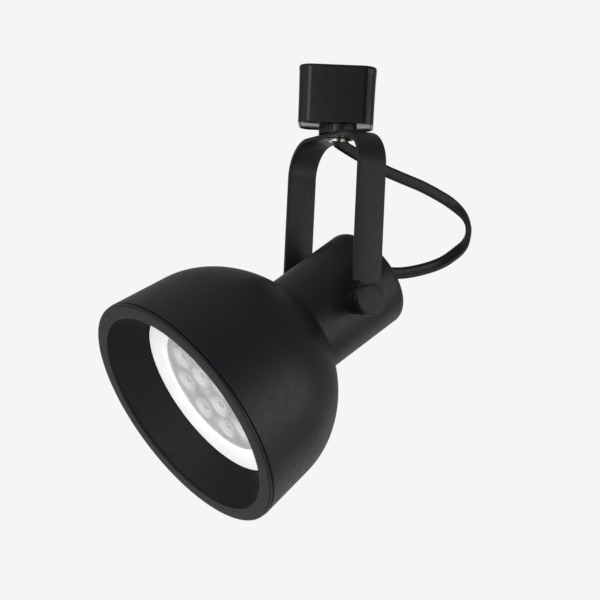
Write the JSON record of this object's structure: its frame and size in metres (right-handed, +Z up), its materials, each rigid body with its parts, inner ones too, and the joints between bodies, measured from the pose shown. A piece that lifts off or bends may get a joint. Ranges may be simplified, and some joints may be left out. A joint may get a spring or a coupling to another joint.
{
  "type": "track spotlight",
  "caption": "Track spotlight with an adapter box, a swivelling strap yoke and a tilting bell-shaped metal head that holds a reflector lamp.",
  "frame": {"origin": "centre of the adapter box's top face, the plane that meets the track", "axes": "+Z up, out of the top face into the track; +X along the track and the box's long side; -Y towards the front of the box"},
  "size_m": [0.1925, 0.1472, 0.2389],
  "materials": {
    "adapter_plastic": "moulded black, polished",
    "collar_plastic": "moulded black, satin",
    "black_paint": "fine matt black powder coat",
    "baffle_paint": "dull matt black",
    "zinc_steel": "zinc plated",
    "bright_plated": "bright plated",
    "contact_copper": "spring copper alloy",
    "brass": "plain brass",
    "nylon": "natural nylon",
    "porcelain": "unglazed white porcelain",
    "block_plastic": "moulded cream",
    "cord_sheath": "flexible black PVC",
    "lamp_white": "smooth white",
    "lens_plastic": "clear grey moulded lens",
    "cap_nickel": "nickel plated",
    "insulator_black": "black insulator",
    "board_white": "white board",
    "phosphor": "yellow phosphor"
  },
  "bodies": {
    "adapter": {"adapter_housing": "adapter_plastic", "adapter_base_plate": "adapter_plastic", "adapter_screws": "zinc_steel", "terminal_block": "block_plastic", "terminal_screws": "brass", "adapter_leads": "cord_sheath", "neck_collar": "collar_plastic", "stem_nipple": "bright_plated", "stem_nut": "zinc_steel", "friction_washer": "collar_plastic", "lock_ring": "bright_plated"},
    "carriage": {"contact_carriage": "collar_plastic", "thumb_tab": "collar_plastic", "live_contact": "contact_copper", "neutral_contact": "contact_copper", "ground_contact": "contact_copper"},
    "yoke": {"yoke_strap": "black_paint", "eye_bushes": "nylon", "cable_loop": "cord_sheath"},
    "near_knob": {"tilt_knob_near": "black_paint", "tilt_screw_near": "zinc_steel"},
    "far_knob": {"tilt_knob_far": "black_paint", "tilt_screw_far": "zinc_steel"},
    "head": {"pivot_washers": "collar_plastic", "pivot_spacers": "black_paint", "pivot_nuts": "zinc_steel", "rear_can": "black_paint", "bell_shade": "black_paint", "trim_ring": "black_paint", "baffle": "baffle_paint", "trim_clips": "zinc_steel", "holder_bracket": "zinc_steel", "lamp_holder": "porcelain", "holder_screws": "zinc_steel", "socket_shell": "brass", "centre_contact": "brass", "holder_leads": "cord_sheath", "cable_gland": "collar_plastic", "gland_nut": "zinc_steel", "lamp_screw_cap": "cap_nickel", "lamp_tip_contact": "cap_nickel", "lamp_insulator": "insulator_black", "lamp_body": "lamp_white", "lamp_bezel": "lamp_white", "lamp_lens": "lens_plastic", "led_board": "board_white", "leds": "phosphor"}
  },
  "joints": [
    {"name": "pan", "type": "hinge", "parent": "adapter", "child": "yoke", "pos_m": [0.0012, 0, -0.0365], "axis": [0, 0, 1], "range_deg": [-115.7, 234.3]},
    {"name": "tilt", "type": "hinge", "parent": "yoke", "child": "head", "pos_m": [0.0012, 0, -0.125], "axis": [0.5105, -0.8599, 0], "range_deg": [-37.3, 52.7], "deforming": ["cable_loop"]},
    {"name": "near_knob_turn", "type": "hinge", "parent": "head", "child": "near_knob", "pos_m": [0.0206, -0.03267, -0.125], "axis": [0.5105, -0.8599, 0], "range_deg": [0, 270]},
    {"name": "far_knob_turn", "type": "hinge", "parent": "head", "child": "far_knob", "pos_m": [-0.0182, 0.03267, -0.125], "axis": [-0.5105, 0.8599, 0], "range_deg": [0, 270]},
    {"name": "contact_lift", "type": "slide", "parent": "adapter", "child": "carriage", "axis": [0, 0, 1], "range_m": [0, 0.0084]}
  ]
}
